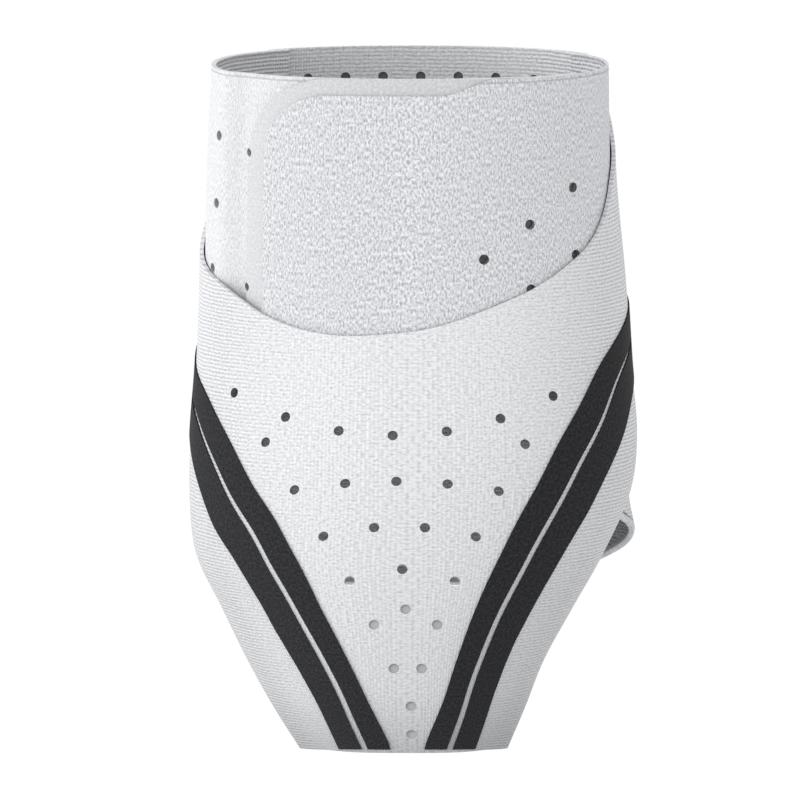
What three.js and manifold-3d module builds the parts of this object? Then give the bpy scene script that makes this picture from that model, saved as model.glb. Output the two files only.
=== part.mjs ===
// Wrap-style ankle support: a ribbed knit sleeve with two pile flaps that close round the lower leg
import * as THREE from "three";
import { ParametricGeometry } from "three/addons/geometries/ParametricGeometry.js";
import { mergeVertices } from "three/addons/utils/BufferGeometryUtils.js";
import Module from "manifold-3d";

const wasm = await Module();
wasm.setup();

// Sizes of the cuff, in millimetres
// X points to the wearer's left, Y to the heel and Z up, from the middle of the cuff's top rim
const CUFF_WIDTH = 101;
const CUFF_DEPTH = 63;

// Sizes of the ankle section, where leg and foot meet
const ANKLE_WIDTH = 112;
const ANKLE_FRONT = 57;
const ANKLE_FRONT_DROP = 98.5;
const HEEL_REACH = 42;
const HEEL_DROP = 116.5;

// Sizes of the foot and of the toe hem
const FOOT_LENGTH = 145;
const TOE_WIDTH = 49.5;
const TOE_DROP = 140.5;
const SOLE_REACH = 25;
const HEIGHT = 170.5;
const TOE_SHIFT = -1.5;

// Cloth thicknesses and the clearance between neighbouring layers
const SLEEVE_WALL = 1.0;
const FLAP_WALL = 1.2;
const STRAP_WALL = 1.2;
const HOOK_WALL = 1.0;
const BAND_WALL = 0.6;
const BINDING_WALL = 1.6;
const LAYER_GAP = 0.4;
const BAND_GAP = 0.5;

// The sleeve's U-shaped top edge and how far the flaps run under it
const FRONT_EDGE_DROP = 61.5;
const FRONT_EDGE_TURN = -15;
const FLAP_LAP = 9;
const STRAP_LAP = 9;

// The strap's end and the smooth margin that shows round it
const STRAP_END_TURN = -41.5;
const STRAP_CORNER = 15.5;
const HOOK_MARGIN = 5.5;
const STRAP_TOP_MARGIN = 4;
const HOOK_LENGTH = 50;
const FLAP_END_TURN = 52;

// Dark bands on the sleeve
const BAND_WIDTH = 7.8;
const BAND_TOE_WIDTH = 4.8;
const BAND_SPACING = 1.2;
const BAND_HEM_MARGIN = 0.6;
const BAND_NARROWS = { from: 0.3, to: 0.9 };

// Perforations
const HOLE_DIAMETER = 2.5;
const HOLE_PITCH = 13;
const BACK_HOLE_PITCH = 9.8;
const BACK_HOLE_DROP = 8;
const BACK_HOLE_SHIFT = 2.8;
const BACK_HOLES = 7;

// Open heel
const BINDING_WIDTH = 3.5;
const BINDING_END_WIDTH = 1.4;
const BINDING_GAP = 0.8;
const HEEL_FLARE = 8;

// How finely each sheet is divided
const SLEEVE_COLUMNS = 48;
const SLEEVE_ROWS = 22;
const FLAP_COLUMNS = 22;
const FLAP_ROWS = 5;
const STRAP_COLUMNS = 24;
const STRAP_ROWS = 6;
const HOOK_COLUMNS = 10;
const HOOK_ROWS = 7;
const BAND_COLUMNS = 66;
const BAND_ROWS = 2;
const OPENING_COLUMNS = 46;
const OPENING_ROWS = 10;
const BINDING_COLUMNS = 20;
const HOLE_SIDES = 8;

// The three named sections: how far each one's front and back stand out, drop and spread
const CUFF = {
  front: CUFF_DEPTH / 2,
  frontDrop: 0,
  back: CUFF_DEPTH / 2,
  backDrop: 0,
  left: CUFF_WIDTH / 2,
  right: CUFF_WIDTH / 2,
  square: 2.25,
};
const ANKLE = {
  front: ANKLE_FRONT,
  frontDrop: ANKLE_FRONT_DROP,
  back: HEEL_REACH,
  backDrop: HEEL_DROP,
  left: ANKLE_WIDTH / 2,
  right: ANKLE_WIDTH / 2,
  square: 2.2,
};
const TOE = {
  front: FOOT_LENGTH - HEEL_REACH,
  frontDrop: TOE_DROP,
  back: -SOLE_REACH,
  backDrop: HEIGHT,
  left: TOE_WIDTH / 2 - TOE_SHIFT,
  right: TOE_WIDTH / 2 + TOE_SHIFT,
  square: 2.8,
};

// Sections from the rim to the ankle and from there to the toe hem: each value is a share of the way
// from one named section to the next
const CUFF_TO_ANKLE = [
  { front: 0.0, frontDrop: 0.0, back: 0.0, backDrop: 0.0, left: 0.0, right: 0.0, square: 0 },
  { front: 0.02, frontDrop: 0.27, back: 0.05, backDrop: 0.23, left: 0.3, right: 0.18, square: 0 },
  { front: 0.06, frontDrop: 0.54, back: 0.14, backDrop: 0.485, left: 0.48, right: 0.72, square: 0.2 },
  { front: 0.22, frontDrop: 0.725, back: 0.43, backDrop: 0.69, left: 0.68, right: 1.02, square: 0.6 },
  { front: 0.59, frontDrop: 0.88, back: 0.9, backDrop: 0.855, left: 0.94, right: 1.32, square: 0.8 },
];
const ANKLE_TO_TOE = [
  { front: 0.0, frontDrop: 0.0, back: 0.0, backDrop: 0.0, left: 0.0, right: 0.0, square: 0 },
  { front: 0.23, frontDrop: 0.265, back: 0.12, backDrop: 0.285, left: 0.07, right: 0.22, square: 0.2 },
  { front: 0.445, frontDrop: 0.5, back: 0.345, backDrop: 0.5, left: 0.315, right: 0.48, square: 0.3 },
  { front: 0.64, frontDrop: 0.705, back: 0.565, backDrop: 0.675, left: 0.54, right: 0.705, square: 0.5 },
  { front: 0.825, frontDrop: 0.88, back: 0.79, backDrop: 0.84, left: 0.775, right: 0.86, square: 0.8 },
  { front: 1.0, frontDrop: 1.0, back: 1.0, backDrop: 1.0, left: 1.0, right: 1.0, square: 1 },
];

// The sleeve's top edge round the leg: its drop as a share of the lowest point's, at angles from that point
const EDGE_LEFT_TURN = 122;
const EDGE_RIGHT_TURN = 134;
const TOP_EDGE = [
  { turn: -EDGE_LEFT_TURN, drop: 0 },
  { turn: -114, drop: 0.14 },
  { turn: -106, drop: 0.32 },
  { turn: -97, drop: 0.48 },
  { turn: -88, drop: 0.6 },
  { turn: -75, drop: 0.69 },
  { turn: -58, drop: 0.755 },
  { turn: -46, drop: 0.795 },
  { turn: -34, drop: 0.853 },
  { turn: -24, drop: 0.917 },
  { turn: -10, drop: 0.98 },
  { turn: 0, drop: 1 },
  { turn: 13, drop: 0.982 },
  { turn: 21, drop: 0.945 },
  { turn: 33, drop: 0.866 },
  { turn: 48, drop: 0.776 },
  { turn: 59, drop: 0.705 },
  { turn: 69, drop: 0.643 },
  { turn: 78, drop: 0.57 },
  { turn: 85, drop: 0.5 },
  { turn: 92, drop: 0.42 },
  { turn: 99, drop: 0.36 },
  { turn: 107, drop: 0.3 },
  { turn: 116, drop: 0.21 },
  { turn: 126, drop: 0.09 },
  { turn: EDGE_RIGHT_TURN, drop: 0 },
];

// The middle of the pair of bands, from the left of the toe hem round the back to its right:
// angle round the form, and share of the way down
const BAND_PATH = [
  { turn: -14.8, down: 1.012 },
  { turn: -19.3, down: 0.869 },
  { turn: -24.0, down: 0.781 },
  { turn: -28.4, down: 0.7 },
  { turn: -32.5, down: 0.624 },
  { turn: -38.8, down: 0.559 },
  { turn: -48.3, down: 0.497 },
  { turn: -58.2, down: 0.432 },
  { turn: -71.0, down: 0.376 },
  { turn: -84.0, down: 0.345 },
  { turn: -101.0, down: 0.308 },
  { turn: -122.0, down: 0.268 },
  { turn: -148.0, down: 0.232 },
  { turn: -178.0, down: 0.214 },
  { turn: -210.0, down: 0.216 },
  { turn: -238.0, down: 0.228 },
  { turn: -261.0, down: 0.25 },
  { turn: -280.0, down: 0.275 },
  { turn: -297.2, down: 0.315 },
  { turn: -308.4, down: 0.368 },
  { turn: -317.0, down: 0.426 },
  { turn: -323.1, down: 0.492 },
  { turn: -328.0, down: 0.557 },
  { turn: -331.9, down: 0.626 },
  { turn: -334.8, down: 0.7 },
  { turn: -337.3, down: 0.781 },
  { turn: -340.4, down: 0.869 },
  { turn: -345.4, down: 1.012 },
];

// Rows of perforations in the front of the sleeve: share of the way down in the row's middle and at its ends,
// distance of its middle from the centre plane and spacing, both in pitches, and how many
const HOLE_ROWS = [
  { middle: 0.377, ends: 0.327, aside: -0.32, spacing: 1.0, count: 7 },
  { middle: 0.393, ends: 0.393, aside: -0.28, spacing: 4.83, count: 2 },
  { middle: 0.449, ends: 0.468, aside: -0.25, spacing: 0.94, count: 5 },
  { middle: 0.5255, ends: 0.544, aside: -0.19, spacing: 0.925, count: 4 },
  { middle: 0.5985, ends: 0.6205, aside: -0.14, spacing: 0.95, count: 3 },
  { middle: 0.6715, ends: 0.7015, aside: -0.08, spacing: 0.565, count: 3 },
  { middle: 0.791, ends: 0.791, aside: -0.04, spacing: 0.49, count: 2 },
  { middle: 0.875, ends: 0.875, aside: 0.02, spacing: 0, count: 1 },
  { middle: 0.951, ends: 0.951, aside: 0.03, spacing: 0, count: 1 },
];

// Perforations in the flaps: share of the front edge's drop, and angle round the cuff
const FLAP_HOLES = [
  { drop: 0.26, turn: -67 },
  { drop: 0.31, turn: -50 },
  { drop: 0.53, turn: -67.5 },
  { drop: 0.79, turn: -70.5 },
  { drop: 0.84, turn: -50 },
];
const STRAP_HOLES = [
  { drop: 0.445, turn: 49.5 },
  { drop: 0.575, turn: 31.6 },
  { drop: 0.705, turn: 17.3 },
  { drop: 0.71, turn: 48.6 },
  { drop: 0.83, turn: 30.8 },
];

// The heel opening's rim: the bound edge over the heel, then the plain edge under it.
// Angle from the back of the form, and share of the way down
const HEEL_MIDDLE = { turn: 180, down: 0.74 };
const HEEL_RIM = [
  { fromBack: 0, down: 0.68 },
  { fromBack: 28, down: 0.675 },
  { fromBack: 50, down: 0.66 },
  { fromBack: 66, down: 0.64 },
  { fromBack: 74, down: 0.61 },
  { fromBack: 80, down: 0.578 },
  { fromBack: 85, down: 0.552 },
  { fromBack: 90.5, down: 0.537 },
  { fromBack: 94.5, down: 0.55 },
  { fromBack: 95.5, down: 0.59 },
  { fromBack: 94, down: 0.635 },
  { fromBack: 88, down: 0.68 },
  { fromBack: 74, down: 0.73 },
  { fromBack: 48, down: 0.79 },
  { fromBack: 24, down: 0.83 },
  { fromBack: 0, down: 0.845 },
];
const BOUND_ROWS = 9;

// How far round the opening reaches at the left, as a share of its reach at the right
const HEEL_LEFT_REACH = 0.94;

// The lip where the bound edge stands out beyond the right side
const FLARE_PLACE = { turn: 102, down: 0.6, turnSpread: 15, downSpread: 0.07 };
const FLARE_STARTS = { from: 87, to: 97 };

// A smooth value between the rows of a table, without overshoot
function between(rows, key, value, x) {
  const last = rows.length - 1;
  if (x <= rows[0][key]) return rows[0][value];
  if (x >= rows[last][key]) return rows[last][value];
  let k = 0;
  while (x > rows[k + 1][key]) k += 1;
  const rise = (i) => (rows[i + 1][value] - rows[i][value]) / (rows[i + 1][key] - rows[i][key]);
  const slope = (i) => {
    if (i === 0 || i === last) return 0;
    const before = rise(i - 1);
    const after = rise(i);
    return before * after <= 0 ? 0 : (2 * before * after) / (before + after);
  };
  const span = rows[k + 1][key] - rows[k][key];
  const t = (x - rows[k][key]) / span;
  const ease = t * t * (3 - 2 * t);
  const start = slope(k) * span * t * (1 - t) * (1 - t);
  const end = slope(k + 1) * span * t * t * (t - 1);
  return rows[k][value] * (1 - ease) + rows[k + 1][value] * ease + start + end;
}

// A section whose sizes are shares of the way between two named ones
function sectionBetween(from, to, shares) {
  const mix = ([key, share]) => [key, THREE.MathUtils.lerp(from[key], to[key], share)];
  return Object.fromEntries(Object.entries(shares).map(mix));
}

const SECTIONS = [
  ...CUFF_TO_ANKLE.map((shares) => sectionBetween(CUFF, ANKLE, shares)),
  ...ANKLE_TO_TOE.map((shares) => sectionBetween(ANKLE, TOE, shares)),
];

// One size of the form's section at a share of the way down, smooth between the sections
function sectionSize(key, down) {
  const last = SECTIONS.length - 1;
  const x = THREE.MathUtils.clamp(down, 0, 1) * last;
  const k = Math.min(Math.floor(x), last - 1);
  const t = x - k;
  const a = SECTIONS[k][key];
  const b = SECTIONS[k + 1][key];
  const before = k === 0 ? 2 * a - b : SECTIONS[k - 1][key];
  const after = k + 1 === last ? 2 * b - a : SECTIONS[k + 2][key];
  const startSlope = (b - before) / 2;
  const endSlope = (after - a) / 2;
  const ease = t * t * (3 - 2 * t);
  const bend = startSlope * t * (1 - t) * (1 - t) + endSlope * t * t * (t - 1);
  return a * (1 - ease) + b * ease + bend;
}

// The same angle, in degrees from low to a full turn above it
const FULL_TURN = 360;
const BACK_TURN = 180;
function wrapped(turn, low) {
  return ((((turn - low) % FULL_TURN) + FULL_TURN) % FULL_TURN) + low;
}

// How far the lip at the right of the heel stands out
function flareAt(turn, down) {
  const round = wrapped(turn, 0);
  const aside = (round - FLARE_PLACE.turn) / FLARE_PLACE.turnSpread;
  const away = (down - FLARE_PLACE.down) / FLARE_PLACE.downSpread;
  const behind = THREE.MathUtils.smoothstep(round, FLARE_STARTS.from, FLARE_STARTS.to);
  return HEEL_FLARE * behind * Math.exp(-aside * aside - away * away);
}

// A point of the form, which is the sleeve's outer face: turn is 0 at the front and 90 at the right
function formPoint(turn, down) {
  const angle = THREE.MathUtils.degToRad(turn);
  const power = 2 / sectionSize("square", down);
  const forward = Math.sign(Math.cos(angle)) * Math.abs(Math.cos(angle)) ** power;
  const aside = Math.sign(Math.sin(angle)) * Math.abs(Math.sin(angle)) ** power;
  const front = sectionSize("front", down);
  const back = sectionSize("back", down);
  const frontDrop = sectionSize("frontDrop", down);
  const backDrop = sectionSize("backDrop", down);
  const halfWidth = sectionSize(aside < 0 ? "left" : "right", down);
  const y = (back - front) / 2 - (forward * (back + front)) / 2;
  const drop = (backDrop + frontDrop) / 2 - (forward * (backDrop - frontDrop)) / 2;
  return new THREE.Vector3(aside * halfWidth + flareAt(turn, down), y, -drop);
}

// How the form runs round and down at a place, per degree and per whole length, and which way it faces
function formSlopes(turn, down) {
  const turnStep = 1.5;
  const downStep = 0.006;
  const at = THREE.MathUtils.clamp(down, 0, 1);
  const upper = Math.max(at - downStep, 0);
  const lower = Math.min(at + downStep, 1);
  const round = formPoint(turn + turnStep, at).sub(formPoint(turn - turnStep, at));
  round.divideScalar(2 * turnStep);
  const along = formPoint(turn, lower).sub(formPoint(turn, upper));
  along.divideScalar(lower - upper);
  const facing = new THREE.Vector3().crossVectors(along, round).normalize();
  return { round, along, facing };
}

// A point at a height above the sleeve's outer face
function raised(turn, down, height) {
  return formPoint(turn, down).addScaledVector(formSlopes(turn, down).facing, height);
}

// The place a distance aside from a place on the form, square to the way that a path runs there
function asideOf(place, heading, distance) {
  const { round, along, facing } = formSlopes(place.turn, place.down);
  const way = round.clone().multiplyScalar(heading.turn).addScaledVector(along, heading.down);
  const side = new THREE.Vector3().crossVectors(facing, way).normalize().multiplyScalar(distance);
  const e = round.dot(round);
  const f = round.dot(along);
  const g = along.dot(along);
  const scale = e * g - f * f;
  return {
    turn: place.turn + (side.dot(round) * g - side.dot(along) * f) / scale,
    down: place.down + (side.dot(along) * e - side.dot(round) * f) / scale,
  };
}

// The share of the way down that lies a drop below the rim, on the front
function downAtDrop(drop) {
  let low = 0;
  let high = 1;
  for (let i = 0; i < 40; i += 1) {
    const middle = (low + high) / 2;
    if (sectionSize("frontDrop", middle) < drop) low = middle;
    else high = middle;
  }
  return low;
}

const EDGE_DOWN = downAtDrop(FRONT_EDGE_DROP);
const DOWN_PER_MM = 1 / formSlopes(0, EDGE_DOWN / 2).along.length();
const EDGE_HALF_SPAN = (CUFF_WIDTH / 2) * Math.SQRT2;

// The angle from the top edge's lowest point, from -180 to 180
function fromEdgeMiddle(turn) {
  return wrapped(turn - FRONT_EDGE_TURN, -BACK_TURN);
}

// The sleeve's top edge, as a share of the way down
function topEdge(turn) {
  return EDGE_DOWN * between(TOP_EDGE, "turn", "drop", fromEdgeMiddle(turn));
}

// The lower edge of a flap, which keeps the top edge's shape and runs under it by a lap on every side
function flapEdge(turn, lap) {
  const widening = 1 + lap / EDGE_HALF_SPAN;
  const under = FRONT_EDGE_TURN + fromEdgeMiddle(turn) / widening;
  return topEdge(under) + lap * DOWN_PER_MM;
}

// A closed sheet between two faces. place(a, b, face) gives a point at shares a round and b down;
// face is 1 outside, -1 inside and 0 midway, where the sheet's open ends are drawn together
function sheet(wide, rows, isRing, place) {
  const loop = 2 * (rows + 1);
  const columns = isRing ? wide : wide + 2;
  const geometry = new ParametricGeometry(
    (u, v, target) => {
      const column = Math.round(u * columns);
      const step = Math.round(v * loop) % loop;
      const i = isRing ? column % wide : THREE.MathUtils.clamp(column - 1, 0, wide);
      const isEnd = !isRing && (column === 0 || column === columns);
      const isOutside = step <= rows;
      const j = isOutside ? rows - step : step - rows - 1;
      const face = isEnd ? 0 : isOutside ? 1 : -1;
      target.copy(place(i / wide, j / rows, face));
    },
    columns,
    loop,
  );
  return solidOf(geometry);
}

// A geometry as a solid for joining and cutting
function solidOf(geometry) {
  const bare = geometry.clone();
  bare.deleteAttribute("normal");
  bare.deleteAttribute("uv");
  const merged = mergeVertices(bare, 1e-4);
  const corners = [];
  for (let i = 0; i < merged.index.count; i += 3) {
    const [a, b, c] = [0, 1, 2].map((k) => merged.index.getX(i + k));
    if (a !== b && b !== c && c !== a) corners.push(a, b, c);
  }
  const vertProperties = new Float32Array(merged.attributes.position.array);
  const triVerts = new Uint32Array(corners);
  return new wasm.Manifold(new wasm.Mesh({ numProp: 3, vertProperties, triVerts }));
}

// A solid as a named mesh with its own material
function meshOf(name, solid, look) {
  const { vertProperties, triVerts } = solid.getMesh();
  const geometry = new THREE.BufferGeometry();
  geometry.setAttribute("position", new THREE.BufferAttribute(new Float32Array(vertProperties), 3));
  geometry.setIndex(new THREE.BufferAttribute(new Uint32Array(triVerts), 1));
  geometry.computeVertexNormals();
  const material = new THREE.MeshStandardMaterial({ metalness: 0, ...look });
  const mesh = new THREE.Mesh(geometry, material);
  mesh.name = name;
  return mesh;
}

// A straight round cutter through the layers at a place
function holeCutter(turn, down) {
  const layers = [SLEEVE_WALL, STRAP_WALL, HOOK_WALL, FLAP_WALL];
  const reach = 2 * layers.reduce((deep, wall) => deep + wall + LAYER_GAP, 0);
  const radius = HOLE_DIAMETER / 2;
  const cylinder = new THREE.CylinderGeometry(radius, radius, reach, HOLE_SIDES);
  const facing = formSlopes(turn, down).facing;
  const upright = new THREE.Vector3(0, 1, 0);
  cylinder.applyQuaternion(new THREE.Quaternion().setFromUnitVectors(upright, facing));
  const middle = formPoint(turn, down);
  cylinder.translate(middle.x, middle.y, middle.z);
  return solidOf(cylinder);
}

// The angle at which the form stands a distance aside from the centre plane, on the front
function turnAt(aside, down) {
  const power = sectionSize("square", down) / 2;
  const halfWidth = sectionSize(aside < 0 ? "left" : "right", down);
  const share = Math.min(Math.abs(aside) / halfWidth, 1) ** power;
  return Math.sign(aside) * THREE.MathUtils.radToDeg(Math.asin(share));
}

function cutAll(solid, cutters) {
  return cutters.reduce((rest, cutter) => rest.subtract(cutter), solid);
}

// The sleeve's perforations: the field on the front, and one row along the back rim
const sleeveCutters = HOLE_ROWS.flatMap((row) =>
  Array.from({ length: row.count }, (_, k) => {
    const offset = k - (row.count - 1) / 2;
    const half = Math.max((row.count - 1) / 2, 1);
    const down = row.middle + (row.ends - row.middle) * (offset / half) ** 2;
    const aside = (row.aside + offset * row.spacing) * HOLE_PITCH;
    return holeCutter(turnAt(aside, down), down);
  }),
);
const backHoleDown = BACK_HOLE_DROP / formSlopes(BACK_TURN, 0).along.length();
const backCutters = Array.from({ length: BACK_HOLES }, (_, k) => {
  const aside = BACK_HOLE_SHIFT + (k - (BACK_HOLES - 1) / 2) * BACK_HOLE_PITCH;
  return holeCutter(BACK_TURN - turnAt(aside, backHoleDown), backHoleDown);
});
const cuffCutter = (hole) => holeCutter(hole.turn, downAtDrop(hole.drop * FRONT_EDGE_DROP));
const flapCutters = FLAP_HOLES.map(cuffCutter);
const strapCutters = STRAP_HOLES.map(cuffCutter);

// A place as a point of a curve of places, with both of its numbers about as large, and back again
const DOWN_SCALE = 100;
const curvePoint = (place) => new THREE.Vector3(place.turn, place.down * DOWN_SCALE, 0);
const placeOf = (point) => ({ turn: point.x, down: point.y / DOWN_SCALE });

// The rim of the heel opening as a closed curve of places
const rimSide = (rows, side) =>
  rows.map((row) => curvePoint({ turn: BACK_TURN + side * row.fromBack, down: row.down }));
const rimRight = rimSide(HEEL_RIM, -1);
const rimLeft = rimSide(HEEL_RIM.slice(1, -1).reverse(), HEEL_LEFT_REACH);
const heelRim = new THREE.CatmullRomCurve3([...rimRight, ...rimLeft], true, "centripetal");

// Everything inside the heel opening's rim, thick enough to cut through the sleeve
const CUTTER_HALF = 4 * SLEEVE_WALL;
const heelCutter = sheet(OPENING_COLUMNS, OPENING_ROWS, true, (a, b, face) => {
  const rim = placeOf(heelRim.getPoint(a));
  const turn = THREE.MathUtils.lerp(HEEL_MIDDLE.turn, rim.turn, b);
  const down = THREE.MathUtils.lerp(HEEL_MIDDLE.down, rim.down, b);
  return raised(turn, down, face * CUTTER_HALF);
});

// The knit sleeve, full height at the back
const sleeveTube = sheet(SLEEVE_COLUMNS, SLEEVE_ROWS, true, (a, b, face) => {
  const turn = FULL_TURN * a - BACK_TURN;
  const down = THREE.MathUtils.lerp(topEdge(turn), 1, b);
  return raised(turn, down, face === 1 ? 0 : -SLEEVE_WALL);
});
const sleeve = cutAll(sleeveTube, [heelCutter, ...sleeveCutters, ...backCutters]);

// Depths of the layers under the sleeve's outer face, to each one's outer side
const STRAP_DEPTH = SLEEVE_WALL + LAYER_GAP;
const HOOK_DEPTH = STRAP_DEPTH + STRAP_WALL + LAYER_GAP;
const FLAP_SHALLOW = STRAP_DEPTH;
const FLAP_UNDER_STRAP = HOOK_DEPTH;
const FLAP_UNDER_HOOK = HOOK_DEPTH + HOOK_WALL + LAYER_GAP;

// The angle that a length takes up round the cuff, where the strap ends
const lengthPerDegree = formSlopes(STRAP_END_TURN, 0).round.length();
const turnOf = (length) => length / lengthPerDegree;

// Steps along a flap, closer together towards its end at the front
const END_CROWDING = 0.6;
function crowded(a) {
  const bent = 1 - Math.cos((a * Math.PI) / 2);
  return THREE.MathUtils.lerp(a, bent, END_CROWDING);
}

// A flap's top edge near a rounded corner at its left end
function cornerDrop(turn, endTurn, corner, inset) {
  const reach = turnOf(corner);
  const t = THREE.MathUtils.clamp((endTurn + reach - turn) / reach, 0, 1);
  return (inset + corner * (1 - Math.sqrt(1 - t * t))) * DOWN_PER_MM;
}

// How far from the hook patch the under flap has dipped, and how far from it the dip begins, in degrees
const DIP_MARGIN = 3;
const DIP_TURN = 16;

// The closing strap, from under the sleeve's right edge to its rounded end at the front left
const strapStart = FRONT_EDGE_TURN + EDGE_RIGHT_TURN + turnOf(STRAP_LAP) / 2;
const hookStart = STRAP_END_TURN - turnOf(HOOK_MARGIN);
const hookFinish = hookStart + turnOf(HOOK_LENGTH);
const strapShape = sheet(STRAP_COLUMNS, STRAP_ROWS, false, (a, b, face) => {
  const turn = THREE.MathUtils.lerp(STRAP_END_TURN, strapStart, crowded(a));
  const beside = THREE.MathUtils.smoothstep(hookFinish - turn, 0, DIP_TURN);
  const inset = STRAP_TOP_MARGIN * beside;
  const top = cornerDrop(turn, STRAP_END_TURN, STRAP_CORNER, inset);
  const down = THREE.MathUtils.lerp(top, flapEdge(turn, STRAP_LAP), b);
  return raised(turn, down, -STRAP_DEPTH - ((1 - face) / 2) * STRAP_WALL);
});
const strap = cutAll(strapShape, strapCutters);

// The smooth patch under the strap's end
const hookShape = sheet(HOOK_COLUMNS, HOOK_ROWS, false, (a, b, face) => {
  const turn = THREE.MathUtils.lerp(hookStart, hookFinish, crowded(a));
  const top = cornerDrop(turn, hookStart, STRAP_CORNER + HOOK_MARGIN, 0);
  const down = THREE.MathUtils.lerp(top, flapEdge(turn, STRAP_LAP), b);
  return raised(turn, down, -HOOK_DEPTH - ((1 - face) / 2) * HOOK_WALL);
});
const hook = cutAll(hookShape, flapCutters);

// The under flap, which dips under the hook patch and the strap
const flapStart = FRONT_EDGE_TURN - EDGE_LEFT_TURN - turnOf(FLAP_LAP) / 2;
const flapDepths = [
  { turn: hookStart - DIP_TURN, depth: FLAP_SHALLOW },
  { turn: hookStart - DIP_MARGIN, depth: FLAP_UNDER_HOOK },
  { turn: hookFinish + DIP_MARGIN, depth: FLAP_UNDER_HOOK },
  { turn: hookFinish + DIP_TURN, depth: FLAP_UNDER_STRAP },
];
const flapShape = sheet(FLAP_COLUMNS, FLAP_ROWS, false, (a, b, face) => {
  const turn = THREE.MathUtils.lerp(flapStart, FLAP_END_TURN, a);
  const down = flapEdge(turn, FLAP_LAP) * b;
  const depth = between(flapDepths, "turn", "depth", turn);
  return raised(turn, down, -depth - ((1 - face) / 2) * FLAP_WALL);
});
const flap = cutAll(flapShape, [...flapCutters, ...strapCutters]);

// The middle of the pair of bands as a curve of places
const bandPath = new THREE.CatmullRomCurve3(BAND_PATH.map(curvePoint), false, "centripetal");

// One band of the pair, on the side named by sign, ending square at the toe hem
function band(sign) {
  const lowest = 1 - BAND_HEM_MARGIN * DOWN_PER_MM;
  return sheet(BAND_COLUMNS, BAND_ROWS, false, (a, b, face) => {
    const place = placeOf(bandPath.getPoint(a));
    const heading = placeOf(bandPath.getTangent(a));
    const narrowing = THREE.MathUtils.smoothstep(place.down, BAND_NARROWS.from, BAND_NARROWS.to);
    const width = THREE.MathUtils.lerp(BAND_WIDTH, BAND_TOE_WIDTH, narrowing);
    const near = BAND_SPACING / 2;
    const reach = sign > 0 ? near + width * (1 - b) : -near - width * b;
    const edge = asideOf(place, heading, reach);
    const past = Math.max(edge.down - lowest, 0);
    const back = past > 0 ? past / heading.down : 0;
    const height = BAND_GAP + ((1 + face) / 2) * BAND_WALL;
    return raised(edge.turn - back * heading.turn, edge.down - past, height);
  });
}

// The bound rim over the heel, in the plane of the sleeve and just inside its cut edge
const rimShare = 1 / heelRim.points.length;
const bindingHalf = (BOUND_ROWS - 2) * rimShare;
const binding = sheet(BINDING_COLUMNS, 1, false, (a, b, face) => {
  const share = (1 + THREE.MathUtils.lerp(bindingHalf, -bindingHalf, a)) % 1;
  const place = placeOf(heelRim.getPoint(share));
  const heading = placeOf(heelRim.getTangent(share));
  const ending = THREE.MathUtils.smoothstep(Math.abs(2 * a - 1), 0.5, 1);
  const width = THREE.MathUtils.lerp(BINDING_WIDTH, BINDING_END_WIDTH, ending);
  const edge = asideOf(place, heading, BINDING_GAP + width * b);
  const height = -SLEEVE_WALL / 2 + (face * BINDING_WALL) / 2;
  return raised(edge.turn, edge.down, height);
});

// The assembled support
const knit = { color: 0xe6e7e9, roughness: 0.9 };
const pile = { color: 0xd9dbde, roughness: 1 };
const ankleSupport = new THREE.Group();
ankleSupport.add(
  meshOf("ankle_sleeve", sleeve, knit),
  meshOf("under_flap", flap, pile),
  meshOf("closing_strap", strap, pile),
  meshOf("hook_tab", hook, { color: 0xe0e2e4, roughness: 0.6 }),
  meshOf("inner_band", band(-1), { color: 0x242629, roughness: 0.85 }),
  meshOf("outer_band", band(1), { color: 0x242629, roughness: 0.85 }),
  meshOf("heel_binding", binding, { color: 0xc9cbce, roughness: 0.9 }),
);

export default ankleSupport;
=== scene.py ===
# %% [markdown]
# # A wrap-style ankle support
# The real object is a knitted sleeve with two pile flaps that close its cuff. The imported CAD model
# gives every place and size, as plain solids. This lesson dresses it in cloth: each solid is
# replaced by a finer sheet on the same form, with its own knit, pile or elastic finish. New sheets
# are drawn because a knit needs an even grid and a map of its threads, which solids lack.

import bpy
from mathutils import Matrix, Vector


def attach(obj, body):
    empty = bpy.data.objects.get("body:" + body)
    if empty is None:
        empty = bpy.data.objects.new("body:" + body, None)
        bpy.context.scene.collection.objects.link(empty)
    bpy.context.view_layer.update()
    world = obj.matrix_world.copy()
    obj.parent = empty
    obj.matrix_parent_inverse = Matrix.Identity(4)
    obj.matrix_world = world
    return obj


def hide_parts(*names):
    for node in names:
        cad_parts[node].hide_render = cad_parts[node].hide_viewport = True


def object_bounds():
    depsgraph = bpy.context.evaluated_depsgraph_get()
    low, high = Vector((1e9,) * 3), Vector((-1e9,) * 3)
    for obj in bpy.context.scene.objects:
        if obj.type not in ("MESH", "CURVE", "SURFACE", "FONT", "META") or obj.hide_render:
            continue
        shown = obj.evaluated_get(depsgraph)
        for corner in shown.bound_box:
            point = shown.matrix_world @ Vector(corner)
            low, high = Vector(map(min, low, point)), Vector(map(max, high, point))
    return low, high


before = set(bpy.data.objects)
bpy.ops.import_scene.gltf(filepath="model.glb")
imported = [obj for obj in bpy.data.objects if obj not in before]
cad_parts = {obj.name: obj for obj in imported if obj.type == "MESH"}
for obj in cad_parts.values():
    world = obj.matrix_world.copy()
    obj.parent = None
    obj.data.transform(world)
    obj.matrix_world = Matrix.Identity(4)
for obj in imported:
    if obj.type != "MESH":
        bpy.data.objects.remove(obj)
cad_low, cad_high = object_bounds()
print("CAD box in mm:", [round(1000 * x, 1) for x in (*cad_low, *cad_high)])

# %% Other modules
import math

import bmesh
import bpy
import numpy as np
from mathutils import Matrix, Vector

MM = 0.001

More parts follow.
